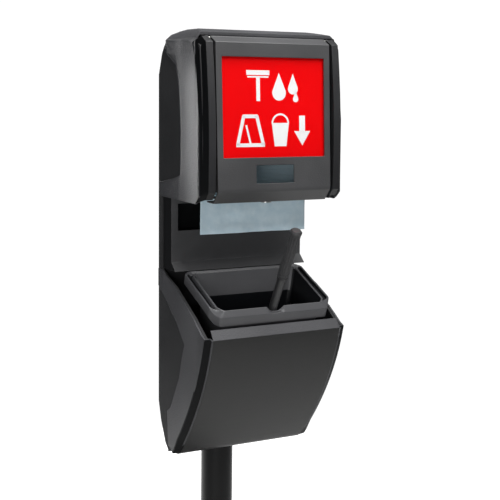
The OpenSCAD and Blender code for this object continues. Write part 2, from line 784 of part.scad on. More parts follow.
// Cam lock in the lip's flange: its tail turns from the rear to behind the keeper
barrel_r = 9;
plug_r = 6;
cam_z = disp_z + 14.3;
cam_t = 3;
module lock_barrel() {
    color("silver")
    translate([0, rear_y - lock_d, 0])
    difference() {
        union() {
            translate([0, 0, disp_z - 2]) cylinder(r = barrel_r + 2, h = 3);
            translate([0, 0, disp_z + 1]) cylinder(r = barrel_r, h = 13);
        }
        translate([0, 0, disp_z - 3]) cylinder(r = plug_r + fit, h = 20);
    }
}
module lock_plug() {
    color("gainsboro")
    translate([0, rear_y - lock_d, disp_z - 2])
    difference() {
        cylinder(r = plug_r, h = cam_z - disp_z + 2);
        translate([-0.6, -3.5, -1]) cube([1.2, 7, 5]);
    }
}
module lock_cam() {
    color("silver")
    translate([0, rear_y - lock_d, cam_z]) {
        cylinder(r = 6, h = cam_t);
        translate([-5, 0, 0]) cube([10, cam_len, cam_t]);
    }
}

post();
base_plate();
post_cap();
post_brackets();
u_bolts();
u_bolt_nuts();
side_panel(-1);  // side_panel_left
side_panel(1);  // side_panel_right
back_panel();
throat_panel();
upper_cowl();
door_frame();
hinge_pins();
towel_tray();
towel_stack();
hanging_towel();
tub_side(-1);  // tub_side_left
tub_side(1);  // tub_side_right
tub_front();
tub_ledge();
bucket_seat();
housing_screws();
door_shell();
sign_retainer();
sign_card();
sign_lens();
level_window();
lock_barrel();
lock_plug();
lock_cam();
bucket();
squeegee_shaft();
squeegee_grip();
squeegee_end_cap();
squeegee_collar();
squeegee_head();
squeegee_blade();
squeegee_sponge();
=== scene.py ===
"""Windscreen service station: a towel dispenser over a tilted wash bucket, on a round post.
Metres, +Z up, front facing -Y, origin at the post's axis under its base plate."""
import math

import bmesh
import bpy
from mathutils import Matrix, Vector


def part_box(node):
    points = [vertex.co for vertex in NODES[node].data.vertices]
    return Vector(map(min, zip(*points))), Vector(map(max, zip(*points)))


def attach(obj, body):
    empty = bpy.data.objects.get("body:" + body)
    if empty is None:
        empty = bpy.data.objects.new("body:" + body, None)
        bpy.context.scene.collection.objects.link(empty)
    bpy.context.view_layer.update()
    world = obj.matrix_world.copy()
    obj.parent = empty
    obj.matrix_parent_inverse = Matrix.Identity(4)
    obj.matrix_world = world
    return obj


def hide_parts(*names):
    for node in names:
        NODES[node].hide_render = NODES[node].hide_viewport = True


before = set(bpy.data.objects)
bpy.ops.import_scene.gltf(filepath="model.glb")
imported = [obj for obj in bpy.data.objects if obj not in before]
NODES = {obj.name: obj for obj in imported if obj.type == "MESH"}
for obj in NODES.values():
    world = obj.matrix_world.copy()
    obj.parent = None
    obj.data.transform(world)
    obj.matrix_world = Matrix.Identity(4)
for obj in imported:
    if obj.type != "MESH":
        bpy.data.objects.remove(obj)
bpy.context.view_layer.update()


def srgb(hex_colour):
    """Linear RGBA of an sRGB hex colour."""
    out = []
    for i in (0, 2, 4):
        c = int(hex_colour[i:i + 2], 16) / 255
        out.append(c / 12.92 if c <= 0.04045 else ((c + 0.055) / 1.055) ** 2.4)
    return (*out, 1.0)


def new_material(name):
    """A material, its node tree and its shader."""
    mat = bpy.data.materials.new(name)
    mat.use_nodes = True
    return mat, mat.node_tree, mat.node_tree.nodes["Principled BSDF"]


def feed(tree, node, inputs):
    """Sets inputs of a node, each to a value or to a link from another node's output."""
    for key, value in inputs.items():
        if isinstance(value, bpy.types.NodeSocket):
            tree.links.new(value, node.inputs[key])
        else:
            node.inputs[key].default_value = value


def add(tree, kind, inputs=None, **settings):
    """A new node with its settings, values and links."""
    node = tree.nodes.new(kind)
    for key, value in settings.items():
        setattr(node, key, value)
    feed(tree, node, inputs or {})
    return node


def moulded_plastic(name, dark, light, rough, grain_mm, grain_depth_mm, specular=0.5, spread=0.05):
    """Moulded or coated surface: a cellular leather grain as bump, slow drift in colour and roughness.
    The real grain is about 1 mm; on the big panels it is drawn at 2.4 mm and up, so that it shows."""
    mat, tree, shader = new_material(name)
    place = add(tree, "ShaderNodeTexCoord").outputs["Object"]
    drift = add(tree, "ShaderNodeTexNoise", {"Vector": place, "Scale": 9.0, "Detail": 4.0}).outputs["Fac"]
    ramp = add(tree, "ShaderNodeValToRGB", {"Fac": drift})
    for stop, position, colour in zip(ramp.color_ramp.elements, (0.35, 0.68), (dark, light)):
        stop.position, stop.color = position, srgb(colour)
    rough_map = add(tree, "ShaderNodeMapRange",
                    {"Value": drift, "To Min": rough - spread, "To Max": rough + spread})
    feed(tree, shader, {"Base Color": ramp.outputs["Color"], "Roughness": rough_map.outputs["Result"],
                        "Specular IOR Level": specular})
    if grain_depth_mm > 0:
        cells = add(tree, "ShaderNodeTexVoronoi",
                    {"Vector": place, "Scale": 1000.0 / grain_mm, "Smoothness": 0.6}, feature="SMOOTH_F1")
        bump = add(tree, "ShaderNodeBump", {"Height": cells.outputs["Distance"], "Strength": 1.0,
                                            "Distance": grain_depth_mm / 1000.0})
        feed(tree, shader, {"Normal": bump.outputs["Normal"]})
    return mat


def clad(material, *nodes):
    """CAD nodes whose shape is right keep it and take a material."""
    for node in nodes:
        NODES[node].data.materials.clear()
        NODES[node].data.materials.append(material)


# Powder coat: near black, with a fine orange peel and a soft sheen
powder_black = moulded_plastic("black_powder_coat", "060607", "09090a", 0.32, 0.9, 0.03, specular=0.22)
# Bright zinc plate over turned and stamped steel
zinc = moulded_plastic("zinc_plate", "a8a8a4", "b9b9b5", 0.35, 0.6, 0.01)
zinc.node_tree.nodes["Principled BSDF"].inputs["Metallic"].default_value = 0.9
clad(powder_black, "post", "post_cap", "post_brackets", "base_plate")
clad(zinc, "u_bolts", "u_bolt_nuts", "hinge_pins", "housing_screws", "lock_barrel", "lock_plug", "lock_cam")


# ---------- side panels and back ----------
# Injection-moulded black polypropylene with a leather grain, every moulded edge rounded off. The
# back panel is screwed from behind to cleats inside the two side panels.
def finish_piece(obj, body, material, replaced=()):
    """Gives a finished piece its material, its body and the nodes it stands for."""
    obj.data.materials.clear()
    obj.data.materials.append(material)
    if replaced:
        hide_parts(*replaced)
    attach(obj, body)
    return obj


def piece_from(name, bm, smooth_angle=32.0):
    """A mesh object at the origin from a bmesh, smooth except over sharp edges."""
    bmesh.ops.recalc_face_normals(bm, faces=bm.faces)
    for face in bm.faces:
        face.smooth = True
    limit = math.radians(smooth_angle)
    for edge in bm.edges:
        if len(edge.link_faces) == 2 and edge.calc_face_angle(0.0) > limit:
            edge.smooth = False
    mesh = bpy.data.meshes.new(name)
    bm.to_mesh(mesh)
    bm.free()
    obj = bpy.data.objects.new(name, mesh)
    bpy.context.collection.objects.link(obj)
    return obj


def softened(name, node, radius, segments=2, shortest=0.0, reshape=None):
    """A copy of a CAD node's own shape with its moulded edges rounded off."""
    source = NODES[node]
    bm = bmesh.new()
    bm.from_mesh(source.data)
    bm.transform(source.matrix_world)
    bmesh.ops.remove_doubles(bm, verts=bm.verts, dist=2e-5)
    bmesh.ops.dissolve_limit(bm, angle_limit=math.radians(0.6), verts=bm.verts, edges=bm.edges)
    if reshape:
        reshape(bm)
    sharp = math.radians(28.0)
    edges = [e for e in bm.edges if len(e.link_faces) == 2
             and e.calc_face_angle(0.0) > sharp and e.calc_length() > max(shortest, 2.2 * radius)]
    bmesh.ops.bevel(bm, geom=edges, offset=radius, offset_type="OFFSET", segments=segments,
                    profile=0.5, affect="EDGES", clamp_overlap=False)
    obj = piece_from(name, bm)
    # Wide flat faces keep their own direction, and only the rounded edges turn
    even = obj.modifiers.new("even_shading", "WEIGHTED_NORMAL")
    even.keep_sharp = True
    even.weight = 90
    return obj


# Leather-grained polypropylene: dull, so that the sunk insets stay even
grained_black = moulded_plastic("grained_black_polypropylene", "262627", "303031", 0.55, 2.6, 0.16,
                                specular=0.22)
for node, radius in [("side_panel_left", 0.0018), ("side_panel_right", 0.0018), ("back_panel", 0.0008)]:
    finish_piece(softened(node + "_moulded", node, radius), "housing", grained_black, (node,))


# ---------- throat, tray and bucket seat ----------
# The throat is a separate, smoother moulding set between the side panels. Its returns and the back of its
# towel recess are painted near-black as shade. The tray and the bucket seat lie across the housing.
REAR_Y = Vector(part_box("side_panel_right")[1]).y * 1000.0
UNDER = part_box("upper_cowl")[0][2] * 1000.0
RECESS_D, RECESS_DROP = 60.0, 68.0

# Smooth grey-black polypropylene with a soft sheen, and a near-black copy of it that paints shade where it is
# laid
throat_grey = moulded_plastic("smooth_throat_polypropylene", "464647", "505051", 0.48, 0.8, 0.05,
                              specular=0.35)
painted_shade_black = moulded_plastic("painted_shade_black_polypropylene", "050607", "07080a", 0.5, 0.6, 0.03,
                              specular=0.12)
throat = finish_piece(softened("throat_panel_moulded", "throat_panel", 0.0012), "housing", throat_grey,
                      ("throat_panel",))
throat.data.materials.append(painted_shade_black)
# Painted shade: the returns and the back of the recess take the near-black material
for face in throat.data.polygons:
    back_of_recess = (face.center.y > (REAR_Y - RECESS_D) / 1000.0
                      and face.center.z > (UNDER - RECESS_DROP) / 1000.0)
    face.material_index = 1 if abs(face.normal.x) > 0.8 or back_of_recess else 0
clad(grained_black, "towel_tray", "bucket_seat")


# ---------- hood and side bands ----------
# Injection-moulded charcoal polypropylene: the hood with the bands around its insets, and the tub's
# cheeks, laid over the side panels. A band flares on a hollow curve, slow at the rear and quick
# towards its front edge, so it turns away from the front.
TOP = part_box("upper_cowl")[1][2] * 1000.0
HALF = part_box("upper_cowl")[1][0] * 1000.0
PANEL_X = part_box("side_panel_right")[1][0] * 1000.0
FLARE = HALF - PANEL_X
CROWN_DROP = 40.0
FLARE_FROM, FLARE_RUN = 60.0, 140.0

# Leather-grained charcoal; the bands' outer faces are rubbed smoother and shine more
charcoal = moulded_plastic("charcoal_polypropylene", "3a3a3c", "444447", 0.52, 2.8, 0.34, specular=0.35)
charcoal_band = moulded_plastic("charcoal_flared_band", "303033", "3a3a3d", 0.46, 2.8, 0.34, specular=0.7)
# The flare goes on hollowing between the mesh's cuts: 12 degrees at its front edge, less in the hood
tree = charcoal_band.node_tree
split = add(tree, "ShaderNodeSeparateXYZ", {0: add(tree, "ShaderNodeTexCoord").outputs["Object"]})
reach = add(tree, "ShaderNodeMapRange", {"From Min": (REAR_Y - 100.0) / 1000.0,
                                         "From Max": (REAR_Y - 240.0) / 1000.0, "Value": split.outputs["Y"]})
curve = add(tree, "ShaderNodeMath", {0: reach.outputs["Result"], 1: 2.0}, operation="POWER")
near_top = add(tree, "ShaderNodeMapRange", {"From Min": (TOP - CROWN_DROP) / 1000.0,
                                            "From Max": (TOP - 110.0) / 1000.0, "To Min": 0.25,
                                            "Value": split.outputs["Z"]}, interpolation_type="SMOOTHSTEP")
hollow = add(tree, "ShaderNodeBump", {"Strength": near_top.outputs["Result"], "Distance": 0.023,
                                      "Height": curve.outputs[0]})
feed(tree, tree.nodes["Bump"], {"Normal": hollow.outputs["Normal"]})


def at(x, d, z):
    """A point in metres from x, the distance d forward of the rear edges and the height z, in mm."""
    return Vector((x, REAR_Y - d, z)) / 1000.0


def hollow_flare(bm):
    """Cuts the flat bands across and bends them out in plan on a hollow curve."""
    for d in range(20, 230, 10):
        bmesh.ops.bisect_plane(bm, geom=bm.verts[:] + bm.edges[:] + bm.faces[:],
                               plane_co=at(0, d, 0), plane_no=(0, 1, 0), dist=1e-7)
    for v in bm.verts:
        if abs(v.co.x) * 1000.0 > PANEL_X + 0.3 and v.co.z * 1000.0 < TOP - CROWN_DROP:
            share = min(max((REAR_Y - v.co.y * 1000.0 - FLARE_FROM) / FLARE_RUN, 0.0), 1.0)
            v.co.x = math.copysign((PANEL_X + 0.5 + (FLARE - 0.5) * share ** 1.7) / 1000.0, v.co.x)


for node, radius in [("upper_cowl", 0.0014), ("tub_side_left", 0.001), ("tub_side_right", 0.001)]:
    shell = finish_piece(softened(node + "_moulded", node, radius, reshape=hollow_flare, shortest=0.004),
                         "housing", charcoal, (node,))
    shell.data.materials.append(charcoal_band)
    for face in shell.data.polygons:
        face.material_index = 1 if abs(face.normal.x) > 0.9 else 0


# ---------- door frame ----------
# One satin-black moulding around the door, proud of it on a shallow crown. Its jambs stand between
# the side panels and hold the door's hinge pins.

# Satin polypropylene, a finer grain and a little more sheen than the side panels
satin_black = moulded_plastic("satin_black_polypropylene", "171718", "1e1e20", 0.47, 2.4, 0.16)
finish_piece(softened("door_frame_moulded", "door_frame", 0.0009), "housing", satin_black, ("door_frame",))


# ---------- dispenser corner strips ----------
# Bevels down both front corners, from the frame's edge back to the bands', over the frame's recessed strips,
# near-black as painted shade. They run down from the hood and round below the lip.
DEPTH = REAR_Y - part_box("tub_front")[0][1] * 1000.0
FACE_LOW = (DEPTH - 20.0, UNDER + 31.0)
FACE_TOP = (DEPTH - 37.0, TOP - 27.0)
CROWN = 7.0
FRAME_HALF = 145.2
TO_BAND = 0.6


def crowned(t):
    """The frame's front, proud of the flat door by up to the crown, from its lip, 0, to its top, 1."""
    return (FACE_LOW[0] + (FACE_TOP[0] - FACE_LOW[0]) * t + CROWN * math.sin(math.pi * t) - 1.0,
            FACE_LOW[1] + (FACE_TOP[1] - FACE_LOW[1]) * t)


def lengths_along(path):
    """The running length at each point of a path."""
    out = [0.0]
    for a, b in zip(path, path[1:]):
        out.append(out[-1] + (b - a).length)
    return out


def resampled(path, count):
    """The path as count points at equal steps along it."""
    path = [Vector(p) for p in path]
    lengths = lengths_along(path)
    out, k = [], 0
    for i in range(count):
        want = lengths[-1] * i / (count - 1)
        while k < len(path) - 2 and lengths[k + 1] < want:
            k += 1
        span = max(lengths[k + 1] - lengths[k], 1e-9)
        out.append(path[k].lerp(path[k + 1], (want - lengths[k]) / span))
    return out


def inward(path):
    """Unit normals towards the inside of a front outline that runs downwards, one per point."""
    out = []
    for i in range(len(path)):
        step = (path[max(i - 1, 0)] - path[min(i + 1, len(path) - 1)]).normalized()
        out.append(Vector((-step.y, step.x)))
    return out


def bridge(bm, rows):
    """Faces between closed rings of vertices, one ring to the next."""
    count = len(rows[0])
    for r0, r1 in zip(rows, rows[1:]):
        for i in range(count):
            j = (i + 1) % count
            bm.faces.new((r0[i], r0[j], r1[j], r1[i]))


def lofted(name, rings, both=False):
    """A closed surface through rings of points; both adds its mirror image in X."""
    bm = bmesh.new()
    for side in (1, -1) if both else (1,):
        rows = [[bm.verts.new((side * p.x, p.y, p.z)) for p in ring] for ring in rings]
        bridge(bm, rows)
        bm.faces.new(rows[0])
        bm.faces.new(list(reversed(rows[-1])))
    bmesh.ops.remove_doubles(bm, verts=bm.verts, dist=1e-6)
    return piece_from(name, bm)


def corner_strip(name, inner_x, inner, outer_x, outer, depth):
    """A bevel from the frame's edge back to the band's, with a closed back, on both sides."""
    inner, outer = resampled(inner, 60), resampled(outer, 60)
    rings = []
    for a, b, na, nb in zip(inner, outer, inward(inner), inward(outer)):
        c, e = b + nb * depth, a + na * depth
        rings.append([at(inner_x, a.x, a.y), at(outer_x, b.x, b.y),
                      at(outer_x, c.x, c.y), at(inner_x, e.x, e.y)])
    # The strips take the near-black material as painted shade
    return finish_piece(lofted(name, rings, both=True), "housing", painted_shade_black)


corner_strip("dispenser_corner_strips", FRAME_HALF,
             [(DEPTH - 55, TOP - 17)] + [crowned(i / 12.0) for i in range(12, -1, -1)]
             + [(DEPTH - 22, UNDER + 23), (DEPTH - 32, UNDER + 10)],
             HALF - TO_BAND,
             [(DEPTH - 66, TOP - 27), (DEPTH - 54.5, TOP - 60), (DEPTH - 38.5, TOP - 173),
              (DEPTH - 36.5, UNDER + 50), (DEPTH - 35.5, UNDER + 16), (DEPTH - 50, UNDER + 3)], 5.0)


# ---------- tub ledge ----------
# The sloped charcoal ledge in front of the bucket, moulded in one with the strips behind the belly's
# corners. The lower ends are drawn in behind the belly, whose outline rolls under on a 17 mm curve.
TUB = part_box("tub_side_left")[1][2] * 1000.0
BELLY_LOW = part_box("tub_front")[0][2] * 1000.0
LEDGE_DROP = 106.0
BELLY_RUN = 158.0
ROLL = 17.0
BEHIND = 2.0


def belly_point(k):
    """The belly's front outline: k runs from the ledge, 0, down to the underside, 1."""
    drop = TUB - LEDGE_DROP - BELLY_LOW
    return Vector((DEPTH - BELLY_RUN * (0.42 * k + 0.58 * k * k), TUB - LEDGE_DROP - drop * k))


belly_line = [belly_point(k / 24.0) for k in range(25)]
corner = belly_line[-1]
before = corner + (belly_line[-3] - corner).normalized() * ROLL
after = Vector((corner.x - ROLL, corner.y))
rolled_under = [p for p in belly_line if p.y > before.y + 1.0]
for k in range(11):
    t = k / 10.0
    rolled_under.append((1 - t) ** 2 * before + 2 * t * (1 - t) * corner + t * t * after)
rolled_under = resampled(rolled_under + [Vector((50.0, BELLY_LOW))], 90)
rolled_in = inward(rolled_under)


def behind_roll(bm):
    """Draws the ledge moulding's lower corners in behind the rolled belly."""
    for v in bm.verts:
        p = Vector((REAR_Y - v.co.y * 1000.0, v.co.z * 1000.0))
        if p.y < before.y + 1.0 and p.x > corner.x - 2.0 * ROLL:
            i = min(range(len(rolled_under)), key=lambda k: (rolled_under[k] - p).length)
            if (p - rolled_under[i]).dot(rolled_in[i]) < BEHIND:
                inner = rolled_under[i] + rolled_in[i] * BEHIND
                v.co.y, v.co.z = (REAR_Y - inner.x) / 1000.0, inner.y / 1000.0


finish_piece(softened("tub_ledge_moulded", "tub_ledge", 0.0009, reshape=behind_roll),
             "housing", charcoal, ("tub_ledge",))


# ---------- tub corner strips ----------
# Bevels along the belly's edges, back to the bands, over the ledge moulding's strips, near-black as painted
# shade.
# They follow the belly under the tub, and thin down to meet the bands' lower ends.
FRONT_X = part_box("tub_front")[1][0] * 1000.0
STRIP_END, THIN_FROM = 81, 68
edges = list(enumerate(zip(rolled_under, rolled_in)))[:STRIP_END]
corner_strip("tub_corner_strips",
             FRONT_X + 0.3, [p + n * 0.6 for i, (p, n) in edges],
             HALF - TO_BAND, [p + n * (8.6 - 6.0 * max(0, i - THIN_FROM) / 12.0) for i, (p, n) in edges], 4.0)


# ---------- belly ----------
# One vacuum-formed black sheet that curves down from the ledge and rolls under the tub, its lower
# corners rounded. It lies between the two corner strips.

# Polished sheet that has dulled with washing
gloss_black = moulded_plastic("gloss_black_sheet", "101010", "141414", 0.42, 1.0, 0.0, specular=0.4,
                              spread=0.03)
CORNER_R = 5.0
SHEET = 3.0
ACROSS_BELLY = 24
lengths = lengths_along(rolled_under)
rings = []
for p, n, run in zip(rolled_under, rolled_in, lengths):
    short = min(max((run - lengths[-1] + CORNER_R) / CORNER_R, 0.0), 1.0)
    half = FRONT_X - CORNER_R * (1.0 - math.sqrt(1.0 - short * short))
    spots = [half * (2.0 * i / ACROSS_BELLY - 1.0) for i in range(ACROSS_BELLY + 1)]
    rings.append([at(x, p.x, p.y) for x in spots]
                 + [at(-x, p.x + n.x * SHEET, p.y + n.y * SHEET) for x in spots])
finish_piece(lofted("belly_sheet", rings), "housing", gloss_black, ("tub_front",))


# ---------- door ----------
# One satin moulding with a lip along its foot, hung on two pins in the frame's jambs, its window
# frames moulded in.

# Charcoal satin: lighter than the frame around it, with a soft highlight
door_grey = moulded_plastic("satin_charcoal_door", "383839", "414142", 0.45, 2.4, 0.20, specular=0.55)
finish_piece(softened("door_moulded", "door_shell", 0.0012), "door", door_grey, ("door_shell",))


# ---------- sign card ----------
# Offset-printed card with generic wash symbols, white on red, set in the door's opening and held
# from behind by a black retainer. Nothing is written on it.
SLOPE = Vector((FACE_TOP[0] - FACE_LOW[0], FACE_TOP[1] - FACE_LOW[1])).normalized()
BACK = Vector((-SLOPE.y, SLOPE.x))
card_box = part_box("sign_card")
CARD_X, CARD_LOW, CARD_TOP = card_box[1][0] * 1000.0, card_box[0][2] * 1000.0, card_box[1][2] * 1000.0
# Depths behind the door's face, in mm, of the clear sheet, the print and the card
LENS_FRONT, LENS_BACK, PRINT_FRONT, CARD_FRONT, CARD_BACK = 3.7, 5.5, 5.66, 5.8, 6.4


def on_face(x, z, deep):
    """A point at half-width x and height z, deep mm behind the door's face."""
    foot = Vector(FACE_LOW) + SLOPE * ((z - FACE_LOW[1]) / SLOPE.y)
    foot += BACK * deep
    return at(x, foot.x, foot.y)


def face_sheet(name, outlines, front, back):
    """Flat pieces parallel to the door's face, each from an outline of [x, z]."""
    bm = bmesh.new()
    for outline in outlines:
        near = [bm.verts.new(on_face(x, z, front)) for x, z in outline]
        far = [bm.verts.new(on_face(x, z, back)) for x, z in outline]
        bm.faces.new(near)
        bm.faces.new(list(reversed(far)))
        for i in range(len(near)):
            j = (i + 1) % len(near)
            bm.faces.new((near[i], far[i], far[j], near[j]))
    return piece_from(name, bm, 30.0)


def rectangle(x0, x1, z0, z1):
    return [(x0, z0), (x1, z0), (x1, z1), (x0, z1)]


def ring_part(x, z, r0, r1, a0, a1, steps=18):
    """An arc band between two radii, from angle a0 to a1 in degrees."""
    turns = [math.radians(a0 + (a1 - a0) * i / steps) for i in range(steps + 1)]
    return ([(x + r1 * math.cos(t), z + r1 * math.sin(t)) for t in turns]
            + [(x + r0 * math.cos(t), z + r0 * math.sin(t)) for t in reversed(turns)])


def bar(x0, z0, x1, z1, width):
    """A straight stroke between two points."""
    along = Vector((x1 - x0, z1 - z0)).normalized()
    side = Vector((-along.y, along.x)) * width / 2.0
    return [(x0 + side.x, z0 + side.y), (x0 - side.x, z0 - side.y),
            (x1 - side.x, z1 - side.y), (x1 + side.x, z1 + side.y)]


def drop(x, z, r, h):
    """A water drop with its point up, its round part centred on x, z."""
    turns = [math.radians(150.0 + 240.0 * i / 24) for i in range(25)]
    return [(x + r * math.cos(t), z + r * math.sin(t)) for t in turns] + [(x, z + h)]


# Solid red ink and bare white board, both matt under the clear sheet
red_print = moulded_plastic("red_offset_print", "f40004", "fa0006", 0.55, 0.6, 0.0, specular=0.05,
                            spread=0.02)
white_print = moulded_plastic("white_board", "fbfbfb", "ffffff", 0.55, 0.6, 0.0, specular=0.15,
                              spread=0.02)
card_outline = rectangle(-CARD_X, CARD_X, CARD_LOW + 1, CARD_TOP - 1)
card = face_sheet("sign_card_print", [card_outline], CARD_FRONT, CARD_BACK)
finish_piece(card, "door", red_print, ("sign_card",))
# Strokes in mm, x from the middle and z above the ground
squeegee_symbol = [bar(-58, 1318, -8, 1318, 9), bar(-56, 1310, -10, 1310, 3),
                   bar(-33, 1309, -33, 1264, 8)]
drops = [drop(13, 1280, 15, 38), drop(44, 1288, 11, 29), drop(50, 1268, 6, 16)]
windscreen = [bar(-79, 1180, -65, 1236, 7), bar(-67, 1235, -35, 1235, 7), bar(-37, 1236, -23, 1180, 7),
              bar(-82, 1180, -20, 1180, 7), bar(-51, 1183, -60, 1218, 4)]
pail = [[(-4, 1222), (34, 1222), (28, 1177), (2, 1177)], ring_part(15, 1221, 16, 19.5, 0, 180)]
arrow = [bar(64, 1236, 64, 1202, 13), [(46, 1206), (82, 1206), (64, 1178)]]
symbols = face_sheet("sign_symbols", squeegee_symbol + drops + windscreen + pail + arrow,
                     PRINT_FRONT, CARD_FRONT)
finish_piece(symbols, "door", white_print)


# ---------- clear sheet, level window and retainer ----------
# A clear sheet cut to the card lies in front of it; below it a smoked window shows the towels' level.
# Both are polycarbonate, the retainer behind them satin polypropylene.
POLYCARBONATE_IOR = 1.58


def polycarbonate(name, tint, alpha, rough):
    """Extruded sheet: hardly seen but for its tint and its sheen."""
    mat, tree, shader = new_material(name)
    feed(tree, shader, {"Base Color": srgb(tint), "Alpha": alpha, "Roughness": rough,
                        "IOR": POLYCARBONATE_IOR})
    return mat


lens = face_sheet("sign_clear_sheet", [card_outline], LENS_FRONT, LENS_BACK)
finish_piece(lens, "door", polycarbonate("clear_polycarbonate", "080a0a", 0.08, 0.16), ("sign_lens",))
clad(polycarbonate("smoked_polycarbonate", "10181c", 0.12, 0.12), "level_window")
clad(satin_black, "sign_retainer")


# ---------- hanging towel ----------
# One pale-blue paper towel: it lies folded back over the tray, comes down through the slot and
# hangs, fluted by its creping. Embossed paper, 238 mm by 235 mm flat, drawn 0.5 mm thick.
CREPE = 0.0015
towel_paper, tree, shader = new_material("embossed_towel_paper")
uv = add(tree, "ShaderNodeUVMap", uv_map="sheet").outputs["UV"]
# Diagonal creping, 1.5 mm from line to line, over a mottle of thick and thin
weave = add(tree, "ShaderNodeTexWave", {"Vector": uv, "Scale": 2.0 / (CREPE * math.tau)},
            wave_type="BANDS", bands_direction="DIAGONAL")
mottle = add(tree, "ShaderNodeTexNoise", {"Vector": uv, "Scale": 60.0, "Detail": 5.0})
tint = add(tree, "ShaderNodeValToRGB", {"Fac": mottle.outputs["Fac"]})
for stop, position, colour in zip(tint.color_ramp.elements, (0.3, 0.75), ("c2d9e4", "d4e6ee")):
    stop.position, stop.color = position, srgb(colour)
bump = add(tree, "ShaderNodeBump", {"Distance": 0.00015, "Strength": 0.6, "Height": weave.outputs["Fac"]})
feed(tree, shader, {"Base Color": tint.outputs["Color"], "Normal": bump.outputs["Normal"],
                    "Roughness": 0.9, "Specular IOR Level": 0.2})

hang_box, stack_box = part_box("hanging_towel"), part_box("towel_stack")
TOWEL_HALF = hang_box[1][0]
TOWEL_LEN = 0.235
PAPER = 0.0005
HANG_LOW, TRAY_Z = hang_box[0][2], stack_box[0][2]
HANG_Y = (hang_box[0][1] + hang_box[1][1]) / 2.0
STACK_BACK = stack_box[1][1] - 0.004
LOWER_PLY, UPPER_PLY = TRAY_Z + 0.0015, TRAY_Z + 0.0035
ACROSS, ALONG = 72, 110


def eased(path, radius, steps=5):
    """The path with its corners turned into short curves."""
    out = [Vector(path[0])]
    for i in range(1, len(path) - 1):
        p, a, b = Vector(path[i]), Vector(path[i - 1]), Vector(path[i + 1])
        p0 = p + (a - p).normalized() * min(radius, 0.45 * (a - p).length)
        p1 = p + (b - p).normalized() * min(radius, 0.45 * (b - p).length)
        for k in range(steps + 1):
            t = k / steps
            out.append((1 - t) ** 2 * p0 + 2 * t * (1 - t) * p + t * t * p1)
    out.append(Vector(path[-1]))
    return out


# From the hanging end: up through the slot, back over the tray, forward again
run = [Vector((HANG_Y, HANG_LOW)), Vector((HANG_Y, LOWER_PLY)), Vector((STACK_BACK, LOWER_PLY)),
       Vector((STACK_BACK, UPPER_PLY))]
run.append(Vector((STACK_BACK - (TOWEL_LEN - lengths_along(run)[-1]), UPPER_PLY)))
run = resampled(eased(run, 0.003), ALONG)
bm = bmesh.new()
uv_layer = bm.loops.layers.uv.new("sheet")
grid, places = [], {}
for j, p in enumerate(run):
    row = []
    free = max(0.0, 1.0 - (p.y - HANG_LOW) / (TRAY_Z - HANG_LOW)) if p.y < TRAY_Z else 0.0
    for i in range(ACROSS + 1):
        s = i / ACROSS
        x = TOWEL_HALF * (2.0 * s - 1.0)
        flute = 0.0016 * math.sin(x * 46.0 + 0.7) + 0.0009 * math.sin(x * 118.0 + 2.1)
        edge = 0.0012 * max(0.0, abs(2.0 * s - 1.0) - 0.8) * 5.0
        v = bm.verts.new((x, p.x + free ** 1.3 * (flute - edge), p.y))
        places[v] = (s * TOWEL_HALF * 2.0, j / (len(run) - 1) * TOWEL_LEN)
        row.append(v)
    grid.append(row)
for r0, r1 in zip(grid, grid[1:]):
    for i in range(ACROSS):
        face = bm.faces.new((r0[i], r0[i + 1], r1[i + 1], r1[i]))
        for loop in face.loops:
            loop[uv_layer].uv = places[loop.vert]
towel = piece_from("hanging_towel_sheet", bm, 80.0)
solidify = towel.modifiers.new("paper", "SOLIDIFY")
solidify.thickness = PAPER
solidify.offset = 0.0
finish_piece(towel, "housing", towel_paper, ("hanging_towel",))


# ---------- towel stack ----------
# The same towels folded once and laid one on the next on the tray, each a little out of line, by
# Geometry Nodes. Every leaf is two plies joined by a round fold at the front.
LEAF_H = 0.0028
LEAVES = int((stack_box[1][2] - TRAY_Z - 0.006) / LEAF_H)


def folded_leaf():
    """One towel folded once: two plies joined by a round fold along its front edge."""
    back, front = stack_box[1][1] - 0.002, stack_box[0][1] + 0.004
    r = LEAF_H * 0.46
    fold = [math.pi * k / 8 for k in range(1, 8)]
    outline = [Vector((back, 0.0)), Vector((front + r, 0.0))]
    outline += [Vector((front + r - r * math.sin(a), r - r * math.cos(a))) for a in fold]
    outline += [Vector((front + r, 2.0 * r)), Vector((back, 2.0 * r)), Vector((back, 1.3 * r)),
                Vector((front + r, 1.1 * r)), Vector((front + r, 0.9 * r)), Vector((back, 0.7 * r))]
    bm = bmesh.new()
    ends = [[bm.verts.new((x, p.x, p.y)) for p in outline] for x in (-TOWEL_HALF + 0.002, TOWEL_HALF - 0.002)]
    bridge(bm, ends)
    bm.faces.new(ends[0])
    bm.faces.new(list(reversed(ends[1])))
    return piece_from("towel_leaf_pattern", bm, 40.0)


def group(name, sockets):
    """An empty Geometry Nodes tree with its geometry sockets and the named inputs."""
    tree = bpy.data.node_groups.new(name, "GeometryNodeTree")
    tree.interface.new_socket("Geometry", in_out="INPUT", socket_type="NodeSocketGeometry")
    tree.interface.new_socket("Geometry", in_out="OUTPUT", socket_type="NodeSocketGeometry")
    for label, kind in sockets:
        tree.interface.new_socket(label, in_out="INPUT", socket_type=kind)
    return tree, add(tree, "NodeGroupInput").outputs, add(tree, "NodeGroupOutput")


def grown(obj, tree, values):
    """Runs the tree on obj with its inputs set, and keeps the result as a plain mesh."""
    modifier = obj.modifiers.new("grow", "NODES")
    modifier.node_group = tree
    for item in tree.interface.items_tree:
        if item.item_type == "SOCKET" and item.in_out == "INPUT" and item.name in values:
            modifier[item.identifier] = values[item.name]
    bpy.context.view_layer.update()
    result = obj.evaluated_get(bpy.context.evaluated_depsgraph_get())
    mesh = bpy.data.meshes.new_from_object(result)
    obj.modifiers.remove(modifier)
    obj.data = mesh
    return obj


